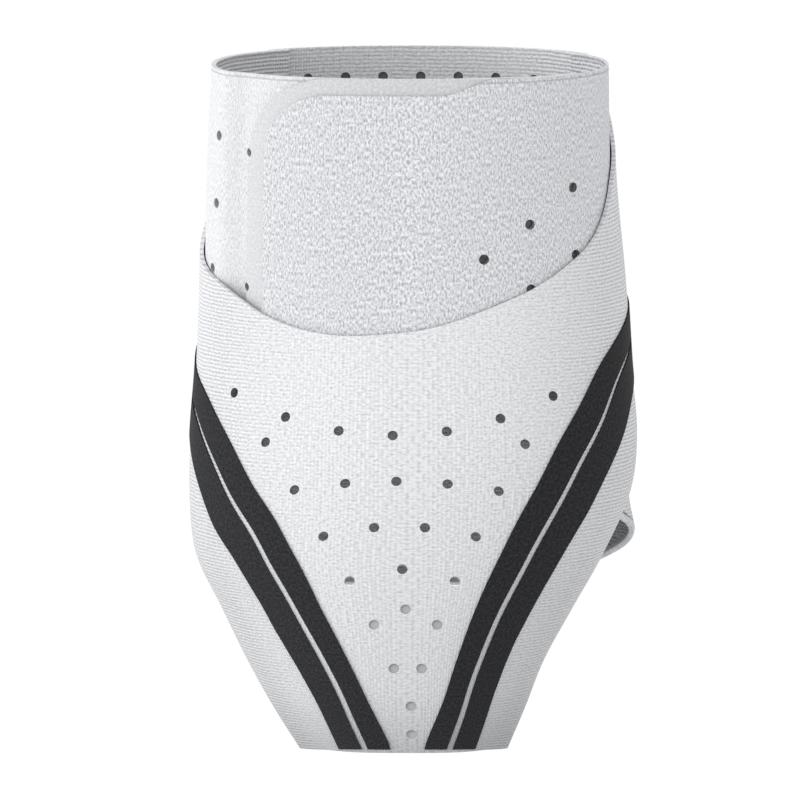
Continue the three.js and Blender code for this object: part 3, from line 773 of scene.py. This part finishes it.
# %% [markdown]
# ## The dark bands
# Two elastic strips lie on the knit, side by side with a narrow light line between them. They could
# be painted on the sleeve, but the real ones have a thickness that shades their edges. Each is a
# grid drawn along the bands' path, a set distance aside from it, cut off along the toe hem, and
# narrower towards the toe.

# %% The bands' path
BAND_SPACING = 1.2
# On each side of the path, the band's width round the back and its width at the toe hem
BAND_WIDTHS = {-1: (6.8, 3.9), 1: (8.4, 5.8)}
NARROW_FROM, NARROW_TO = 0.3, 0.9
BAND_HEIGHT, BAND_WALL = 0.45, 0.4
HEM_MARGIN = 0.6
PATH_STEPS, BEYOND_STEPS = 361, 12
path, path_heading = curve_through(BAND_PATH, False, PATH_STEPS)
beyond = np.arange(1, BEYOND_STEPS + 1)[:, None]
path = np.vstack([
    (path[0] + (path[0] - path[1]) * beyond)[::-1], path,
    path[-1] + (path[-1] - path[-2]) * beyond,
])
path_heading = np.vstack([
    np.repeat(path_heading[:1], BEYOND_STEPS, 0), path_heading,
    np.repeat(path_heading[-1:], BEYOND_STEPS, 0),
])
print(len(path), "places along the bands")


# %% Build the bands
def band_piece(name, sign):
    """One band, the inner one at sign -1 and the outer one at sign 1."""
    widest, narrowest = BAND_WIDTHS[sign]
    lowest = 1 - HEM_MARGIN * DOWN_PER_MM

    def line(b):
        """The band's line at a share b of its width, cut off at the hem."""
        narrowing = smoothstep(path[:, 1], NARROW_FROM, NARROW_TO)
        width = widest + (narrowest - widest) * narrowing
        near = BAND_SPACING / 2
        reach = near + width * (1 - b) if sign > 0 else -near - width * b
        places = aside_of(path, path_heading, reach)
        inside = np.flatnonzero(places[:, 1] <= lowest)
        first, last = inside[0], inside[-1]
        ends = []
        for outer, inner in ((first - 1, first), (last + 1, last)):
            t = (lowest - places[inner, 1]) / (places[outer, 1] - places[inner, 1])
            ends.append(places[inner] + t * (places[outer] - places[inner]))
        return np.vstack([ends[0], places[first:last + 1], ends[1]])

    def place(a, b):
        turn, down = np.zeros_like(a), np.zeros_like(a)
        for share in np.unique(np.round(b, 6)):
            row = np.abs(b - share) < 1e-4
            places = line(share)
            at = a[row] * (len(places) - 1)
            turn[row] = np.interp(at, np.arange(len(places)), places[:, 0])
            down[row] = np.interp(at, np.arange(len(places)), places[:, 1])
        return turn, down, np.full_like(a, BAND_HEIGHT)

    return thicken(cloth_grid(name, columns=360, rows=12, place=place), BAND_WALL)


inner_band = band_piece("inner_band_elastic", -1)
outer_band = band_piece("outer_band_elastic", 1)
for piece in (inner_band, outer_band):
    smooth(piece)
    tell(piece)

# %% [markdown]
# ## The bound heel edge
# A narrow tape binds the edge over the heel. It could be a round tube along the rim, but the real
# tape is flat with soft edges. So it is a sheet too: it lies in the plane of the knit, just inside
# the cut, and a bevel along its edges rounds it.

# %% Build the binding
BINDING_WIDTH, BINDING_END_WIDTH, BINDING_GAP, BINDING_WALL = 2.6, 1.4, 0.4, 1.5
BINDING_ROUND = 0.6
BINDING_STEPS, BOUND_PLACES = 120, 7
upper_rim = rim_places[-BOUND_PLACES:] + rim_places[:BOUND_PLACES + 1]
bound = curve_through(upper_rim, False, BINDING_STEPS + 1)


def binding_place(a, b):
    k = np.rint(a * BINDING_STEPS).astype(int)
    here, way = bound[0][::-1][k], -bound[1][::-1][k]
    ending = smoothstep(np.abs(2 * a - 1), 0.5, 1)
    width = BINDING_WIDTH + (BINDING_END_WIDTH - BINDING_WIDTH) * ending
    edge = aside_of(here, way, -(BINDING_GAP + width * b))
    return edge[:, 0], edge[:, 1], np.full_like(a, (BINDING_WALL - SLEEVE_WALL) / 2)


binding = cloth_grid("heel_edge_binding", columns=BINDING_STEPS, rows=4, place=binding_place)
thicken(binding, BINDING_WALL)
modifier(binding, "BEVEL", width=BINDING_ROUND * MM, segments=3, profile=0.5,
         limit_method="ANGLE", angle_limit=math.radians(50))
apply_modifiers(binding)
smooth(binding, 60)
tell(binding)

# %% [markdown]
# ## Finishes
# Three node groups hold what the materials share: the ribs of the knit, the nap of the pile and a
# fine grain. Pictures of cloth could do the same, but a pattern made of nodes stays sharp at any
# distance and takes any scale. The groups put out heights and masks only. Each material keeps its
# own shader and its own plain values.


# %% Node helpers
def put(tree, value, socket):
    """Gives a socket a plain value, or links another node's output to it."""
    if isinstance(value, (int, float, tuple)):
        socket.default_value = value
    else:
        tree.links.new(value, socket)


def math_node(tree, operation, *values):
    made = tree.nodes.new("ShaderNodeMath")
    made.operation = operation
    for socket, value in zip(made.inputs, values):
        put(tree, value, socket)
    return made.outputs[0]


def noise(tree, places, **inputs):
    made = tree.nodes.new("ShaderNodeTexNoise")
    put(tree, places, made.inputs["Vector"])
    for title, value in inputs.items():
        put(tree, value, made.inputs[title])
    return made.outputs[0]


def stretched(tree, places, scales):
    """Places on the cloth with each direction scaled by itself."""
    made = tree.nodes.new("ShaderNodeVectorMath")
    made.operation = "MULTIPLY"
    put(tree, places, made.inputs[0])
    put(tree, scales, made.inputs[1])
    return made.outputs[0]


def remap(tree, value, low, high):
    """0 where the value is low and 1 where it is high."""
    made = tree.nodes.new("ShaderNodeMapRange")
    for title, given in (("Value", value), ("From Min", low), ("From Max", high)):
        put(tree, given, made.inputs[title])
    return made.outputs[0]


def along_and_down(tree, cloth):
    """The two parts of a place on the cloth."""
    made = tree.nodes.new("ShaderNodeSeparateXYZ")
    put(tree, cloth, made.inputs[0])
    return made.outputs[0], made.outputs[1]


# %% Group helpers
def new_group(name, inputs, outputs):
    tree = bpy.data.node_groups.new(name, "ShaderNodeTree")
    for title, kind, value in inputs:
        socket = tree.interface.new_socket(name=title, in_out="INPUT", socket_type=kind)
        if value is not None:
            socket.default_value = value
    for title in outputs:
        tree.interface.new_socket(name=title, in_out="OUTPUT", socket_type="NodeSocketFloat")
    return tree, tree.nodes.new("NodeGroupInput"), tree.nodes.new("NodeGroupOutput")


def finish_group(tree, group_out, **values):
    for title, value in values.items():
        put(tree, value, group_out.inputs[title])
    print(tree.name, "has the sockets", [socket.name for socket in tree.interface.items_tree])


def place_group(tree, group, **values):
    made = tree.nodes.new("ShaderNodeGroup")
    made.node_tree = group
    for title, value in values.items():
        put(tree, value, made.inputs[title.replace("_", " ")])
    return made.outputs


print("node groups so far:", len(bpy.data.node_groups))

# %% [markdown]
# ### Knit ribs
# The courses of the knit are fine ribs, one to a millimetre, that run round the tube. They are deep
# where the cloth turns away at the sides, and flatten to a fine speckle at the front. They could be
# modelled stitch by stitch, but that takes a million faces. A sine of the UV map's length down
# draws them, a little noise bends them, and a second sine breaks them into stitches.

# %% Rib group
# Lengths in the groups and materials are in metres, as on the cloth's map
WALE_PITCH = 0.0009
BEND_SCALE, BEND = 90.0, 0.0008
SPECK_SCALE, SPECK_STRETCH, SPECK_RANGE = 1500.0, (0.7, 1.2, 1.0), (0.62, 0.3)
WALE_HEIGHT, SPECK_HEIGHT, GROOVE_POWER = 0.12, 0.7, 3.0

ribs, ribs_in, ribs_out = new_group(
    "knit_ribs",
    [("Cloth", "NodeSocketVector", None), ("Pitch", "NodeSocketFloat", 0.001),
     ("Rib depth", "NodeSocketFloat", 1.0)],
    ["Height", "Groove", "Speckle"],
)
cloth, pitch, rib_depth = (ribs_in.outputs[title] for title in ("Cloth", "Pitch", "Rib depth"))
along, down = along_and_down(ribs, cloth)
warp = math_node(ribs, "SUBTRACT", noise(ribs, cloth, Scale=BEND_SCALE, Detail=2.0), 0.5)
course = math_node(ribs, "ADD", down, math_node(ribs, "MULTIPLY", warp, BEND))
phase = math_node(ribs, "DIVIDE", course, pitch)
wave = math_node(ribs, "SINE", math_node(ribs, "MULTIPLY", phase, 2 * math.pi))
crest = math_node(ribs, "MULTIPLY", math_node(ribs, "ADD", wave, 1.0), 0.5)
wale = math_node(ribs, "SINE", math_node(ribs, "MULTIPLY", along, 2 * math.pi / WALE_PITCH))
wale = math_node(ribs, "MULTIPLY", wale, WALE_HEIGHT)
speck = noise(ribs, stretched(ribs, cloth, SPECK_STRETCH), Scale=SPECK_SCALE, Detail=2.0)
relief = math_node(ribs, "ADD", math_node(ribs, "MULTIPLY", crest, rib_depth), wale)
relief = math_node(ribs, "ADD", relief, math_node(ribs, "MULTIPLY", speck, SPECK_HEIGHT))
groove = math_node(ribs, "POWER", math_node(ribs, "SUBTRACT", 1.0, crest), GROOVE_POWER)
finish_group(
    ribs, ribs_out, Height=relief, Groove=math_node(ribs, "MULTIPLY", groove, rib_depth),
    Speckle=remap(ribs, speck, *SPECK_RANGE),
)

# %% [markdown]
# ### Pile nap
# Loop pile is a felt of tiny upright loops. Hair strands could make it, but under a soft light only
# its shading shows. Two noises stretched along the length of the cloth give short streaks, and the
# finer one gives the single threads.

# %% Pile group
NAP_STRETCH, NAP_RANGE = (1.0, 0.42, 1.0), (0.36, 0.6)
TUFT_SCALE, LOOP_HEIGHT, TUFT_HEIGHT = 420.0, 0.7, 0.6

nap, nap_in, nap_out = new_group(
    "pile_nap", [("Cloth", "NodeSocketVector", None), ("Fibre", "NodeSocketFloat", 0.0006)],
    ["Height", "Shade"],
)
streaks = stretched(nap, nap_in.outputs["Cloth"], NAP_STRETCH)
fibre_scale = math_node(nap, "DIVIDE", 1.0, nap_in.outputs["Fibre"])
loops = noise(nap, streaks, Scale=fibre_scale, Detail=3.0, Roughness=0.7)
tufts = noise(nap, streaks, Scale=TUFT_SCALE, Detail=2.0)
loop_part = math_node(nap, "MULTIPLY", loops, LOOP_HEIGHT)
tuft_part = math_node(nap, "MULTIPLY", tufts, TUFT_HEIGHT)
finish_group(
    nap, nap_out, Height=math_node(nap, "ADD", loop_part, tuft_part),
    Shade=remap(nap, loops, *NAP_RANGE),
)

# %% [markdown]
# ### Fine grain
# The elastic of the bands, the smooth patch and the bound edge are woven too finely to see. Three
# weaves could be drawn for them, but one even noise gives the same grain for less.

# %% Grain group
FLECK_RANGE = (0.4, 0.75)

grain, grain_in, grain_out = new_group(
    "fine_grain", [("Cloth", "NodeSocketVector", None), ("Scale", "NodeSocketFloat", 1500.0)],
    ["Height", "Fleck"],
)
weave = noise(
    grain, grain_in.outputs["Cloth"], Scale=grain_in.outputs["Scale"], Detail=3.0, Roughness=0.65,
)
finish_group(grain, grain_out, Height=weave, Fleck=remap(grain, weave, *FLECK_RANGE))

# %% [markdown]
# ### The cloths
# All the finishes are matt, since cloth scatters light. Each colour runs between two plain ones by
# a mask from the groups, and a bump gives the touch of the cloth. The lining, the toe and the walls
# of the holes are darker by painted shade. They could be materials of their own, with a hard border.
# Here the painted shade that each sheet got with its wall mixes in a dark colour, so they fade into
# each other.

# %% Shared parts of the cloths
# The dark colour of the knit's flecks, which also paints every painted shade, mixed in by the shade
# attribute
DARK_FLECK_AND_SHADE = (0.012, 0.012, 0.013, 1)
CLOTH_SPECULAR = 0.25


def new_material(name, roughness):
    material = bpy.data.materials.new(name)
    material.use_nodes = True
    tree = material.node_tree
    shader = tree.nodes["Principled BSDF"]
    shader.inputs["Roughness"].default_value = roughness
    shader.inputs["Specular IOR Level"].default_value = CLOTH_SPECULAR
    return material, tree, shader


def mix_colour(tree, factor, a, b):
    made = tree.nodes.new("ShaderNodeMix")
    made.data_type = "RGBA"
    factor_in, a_in, b_in = made.inputs[0], made.inputs[6], made.inputs[7]
    for socket, value in ((factor_in, factor), (a_in, a), (b_in, b)):
        put(tree, value, socket)
    return made.outputs[2]


def bump(tree, shader, height, distance):
    made = tree.nodes.new("ShaderNodeBump")
    put(tree, distance, made.inputs["Distance"])
    put(tree, 1.0, made.inputs["Strength"])
    put(tree, height, made.inputs["Height"])
    put(tree, made.outputs[0], shader.inputs["Normal"])


def cloth_uv(tree):
    made = tree.nodes.new("ShaderNodeUVMap")
    made.uv_map = "cloth"
    return made.outputs[0]


def attribute(tree, name):
    made = tree.nodes.new("ShaderNodeAttribute")
    made.attribute_name = name
    return made.outputs["Fac"]


def add_painted_shade(tree, shader, colour):
    """Darkens a colour by the sheet's painted shade and gives it to the shader."""
    put(tree, mix_colour(tree, attribute(tree, "shade"), colour, DARK_FLECK_AND_SHADE), shader.inputs["Base Color"])


print("the dye reflects", DARK_FLECK_AND_SHADE[0], "of the light")

# %% Knit and grain
KNIT_PITCH, KNIT_TOUCH, SPECK_DYE = 0.001, 0.0002, 0.3


def knit_material(name, light, groove_shade_colour):
    material, tree, shader = new_material(name, 0.85)
    cloth, depth = cloth_uv(tree), attribute(tree, "rib_depth")
    courses = place_group(tree, ribs, Cloth=cloth, Pitch=KNIT_PITCH, Rib_depth=depth)
    # Painted shade in the grooves of the ribs, deepest at the sides where the light grazes
    colour = mix_colour(tree, courses["Groove"], light, groove_shade_colour)
    specks = math_node(tree, "MULTIPLY", courses["Speckle"], SPECK_DYE)
    add_painted_shade(tree, shader, mix_colour(tree, specks, colour, DARK_FLECK_AND_SHADE))
    bump(tree, shader, courses["Height"], KNIT_TOUCH)
    return material


def grain_material(name, light, dark, scale, roughness, touch):
    material, tree, shader = new_material(name, roughness)
    group = place_group(tree, grain, Cloth=cloth_uv(tree), Scale=scale)
    add_painted_shade(tree, shader, mix_colour(tree, group["Fleck"], dark, light))
    bump(tree, shader, group["Height"], touch)
    return material


knit = knit_material("sleeve_knit", (0.85, 0.86, 0.88, 1), (0.58, 0.59, 0.61, 1))
patch = grain_material(
    "smooth_patch", light=(0.76, 0.77, 0.785, 1), dark=(0.56, 0.57, 0.58, 1),
    scale=1500.0, roughness=0.6, touch=0.00005,
)
elastic = grain_material(
    "dark_elastic", light=(0.036, 0.037, 0.041, 1), dark=(0.007, 0.007, 0.008, 1),
    scale=1300.0, roughness=0.8, touch=0.00008,
)
tape = grain_material(
    "binding_tape", light=(0.70, 0.71, 0.72, 1), dark=(0.52, 0.53, 0.55, 1),
    scale=1500.0, roughness=0.9, touch=0.0001,
)
print("materials:", [material.name for material in (knit, patch, elastic, tape)])

# %% Pile
HEM_DROP, HEM_HALF_WIDTH, HEM_GROOVE_SHADE = 0.0009, 0.00022, 0.25
PILE_FIBRE, PILE_TOUCH = 0.00042, 0.0006
BACK_RIB_PAINTED_SHADE, BACK_RIB_HEIGHT = 0.2, 0.4
LEAST_SHADE = 0.01


def hem_line(tree, cloth):
    """A thin line of painted shade a little below the rim, in the groove of the stitched hem."""
    down = along_and_down(tree, cloth)[1]
    away = math_node(tree, "ABSOLUTE", math_node(tree, "SUBTRACT", down, HEM_DROP))
    return math_node(tree, "LESS_THAN", away, HEM_HALF_WIDTH)


def pile_material(name, light, dark):
    """Pile outside. The inside, which gets painted shade, shows ribs like the sleeve's, shaded in
    their grooves.
    """
    material, tree, shader = new_material(name, 0.95)
    cloth = cloth_uv(tree)
    inside = math_node(tree, "GREATER_THAN", attribute(tree, "shade"), LEAST_SHADE)
    outside = math_node(tree, "SUBTRACT", 1.0, inside)
    pile_side = place_group(tree, nap, Cloth=cloth, Fibre=PILE_FIBRE)
    back_side = place_group(tree, ribs, Cloth=cloth, Pitch=KNIT_PITCH, Rib_depth=inside)
    colour = mix_colour(tree, pile_side["Shade"], dark, light)
    # Painted shade in the grooves of the ribs on the inside of the cloth
    grooves = math_node(tree, "MULTIPLY", back_side["Groove"], BACK_RIB_PAINTED_SHADE)
    # Painted shade in the groove of the hem
    hem_shade = math_node(tree, "MULTIPLY", hem_line(tree, cloth), HEM_GROOVE_SHADE)
    colour = mix_colour(tree, grooves, colour, DARK_FLECK_AND_SHADE)
    add_painted_shade(tree, shader, mix_colour(tree, hem_shade, colour, DARK_FLECK_AND_SHADE))
    napped = math_node(tree, "MULTIPLY", pile_side["Height"], outside)
    ribbed = math_node(tree, "MULTIPLY", back_side["Height"], inside)
    ribbed = math_node(tree, "MULTIPLY", ribbed, BACK_RIB_HEIGHT)
    bump(tree, shader, math_node(tree, "ADD", napped, ribbed), PILE_TOUCH)
    return material


strap_pile = pile_material("strap_pile", (0.93, 0.94, 0.97, 1), (0.42, 0.43, 0.46, 1))
flap_pile = pile_material("flap_pile", (0.93, 0.935, 0.95, 1), (0.62, 0.63, 0.65, 1))
print("materials:", [material.name for material in (strap_pile, flap_pile)])

# %% Give each piece its finish, its body and the node that it stands for
DRESS = [
    (sleeve, knit, "ankle_sleeve", "knit"),
    (flap, flap_pile, "under_flap", "pile"),
    (strap, strap_pile, "closing_strap", "pile"),
    (hook, patch, "hook_tab", "smooth_patch"),
    (inner_band, elastic, "inner_band", "dark_elastic"),
    (outer_band, elastic, "outer_band", "dark_elastic"),
    (binding, tape, "heel_binding", "edge_binding"),
]
for piece, material, cad_node, slot_name in DRESS:
    piece.data.materials.clear()
    piece.data.materials.append(material)
    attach(piece, "root")
    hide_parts(cad_node)
    print(piece.name, "stands for", cad_node)

# %% [markdown]
# ## Cloth facts
# The flat size that each sheet was cut to is listed below, and its area is printed beside the worn
# one. It could be measured from the model, but worn cloth is stretched, and its maker knows the flat
# size. The sleeve is cut as wide as the form's girth and as long as its back, and its area leaves
# out the U of the cuff and the heel opening. The bands and the bound edge are too narrow to be
# sheets of their own, so they are listed with the sleeve.

SHEETS = [
    # piece, width, length, area, what it lies on, what goes with it
    (sleeve, 0.334, 0.266, 0.0405, (), (inner_band, outer_band, binding)),
    (flap, 0.163, 0.070, 0.0082, (sleeve,), ()),
    (strap, 0.142, 0.071, 0.0064, (hook,), ()),
    (hook, 0.060, 0.070, 0.0040, (flap,), ()),
]
SQUARE_CM = 1e4
for piece, width, length, area, under, with_it in SHEETS:
    worn = sum(face.area for face in piece.data.polygons) / 2
    sizes = [round(SQUARE_CM * area, 1), round(SQUARE_CM * worn, 1)]
    print(piece.name, "is cut and worn with square cm of", sizes)

# %% [markdown]
# ## Floor, light and camera
# The support hangs in a white studio. A pale sky and floor give most of the light, evenly from all
# sides, and a broad soft light from the front left models the form. Lamps close by could light it
# too, but they would leave bright spots on the pale cloth.

# %% Floor
FLOOR_HEIGHT, FLOOR_REACH, FLOOR_COLOUR = -0.5, 40.0, (0.97, 0.97, 0.97, 1)
bm = bmesh.new()
bmesh.ops.create_grid(bm, x_segments=1, y_segments=1, size=FLOOR_REACH)
bmesh.ops.translate(bm, vec=(0, 0, FLOOR_HEIGHT), verts=bm.verts)
floor_mesh = bpy.data.meshes.new("floor")
bm.to_mesh(floor_mesh)
bm.free()
floor = bpy.data.objects.new("floor", floor_mesh)
bpy.context.scene.collection.objects.link(floor)
floor_material, floor_tree, floor_shader = new_material("pale_floor", 0.9)
put(floor_tree, FLOOR_COLOUR, floor_shader.inputs["Base Color"])
floor_mesh.materials.append(floor_material)
print("the floor lies", -FLOOR_HEIGHT, "m below the cuff's rim")

# %% Lights
SKY_STRENGTH, KEY_STRENGTH, KEY_SPREAD = 0.86, 1.5, 50
KEY_WAY = (1.0, 0.25, -0.45)
world = bpy.data.worlds.new("studio")
world.use_nodes = True
sky = world.node_tree.nodes["Background"]
sky.inputs["Color"].default_value = (1, 1, 1, 1)
sky.inputs["Strength"].default_value = SKY_STRENGTH
bpy.context.scene.world = world
key_data = bpy.data.lights.new("key", "SUN")
key_data.energy = KEY_STRENGTH
key_data.angle = math.radians(KEY_SPREAD)
key = bpy.data.objects.new("key", key_data)
key.rotation_euler = Vector(KEY_WAY).to_track_quat("-Z", "Y").to_euler()
bpy.context.scene.collection.objects.link(key)
print("sky", SKY_STRENGTH, "and key", KEY_STRENGTH)

# %% Camera
CAMERA_PLACE, CAMERA_TILT = (0, -0.6911, 0.0987), 75
LENS, SENSOR, SIDE_SHIFT, NEAREST = 126, 36, -0.0125, 0.05
camera_data = bpy.data.cameras.new("camera")
camera_data.lens = LENS
camera_data.sensor_width = SENSOR
camera_data.shift_x = SIDE_SHIFT
camera_data.clip_start = NEAREST
camera = bpy.data.objects.new("camera", camera_data)
camera.location = CAMERA_PLACE
camera.rotation_euler = (math.radians(CAMERA_TILT), 0, 0)
bpy.context.scene.collection.objects.link(camera)
bpy.context.scene.camera = camera
bpy.context.scene.view_settings.view_transform = "Standard"
print("the camera stands", round(camera.location.length, 2), "m away")
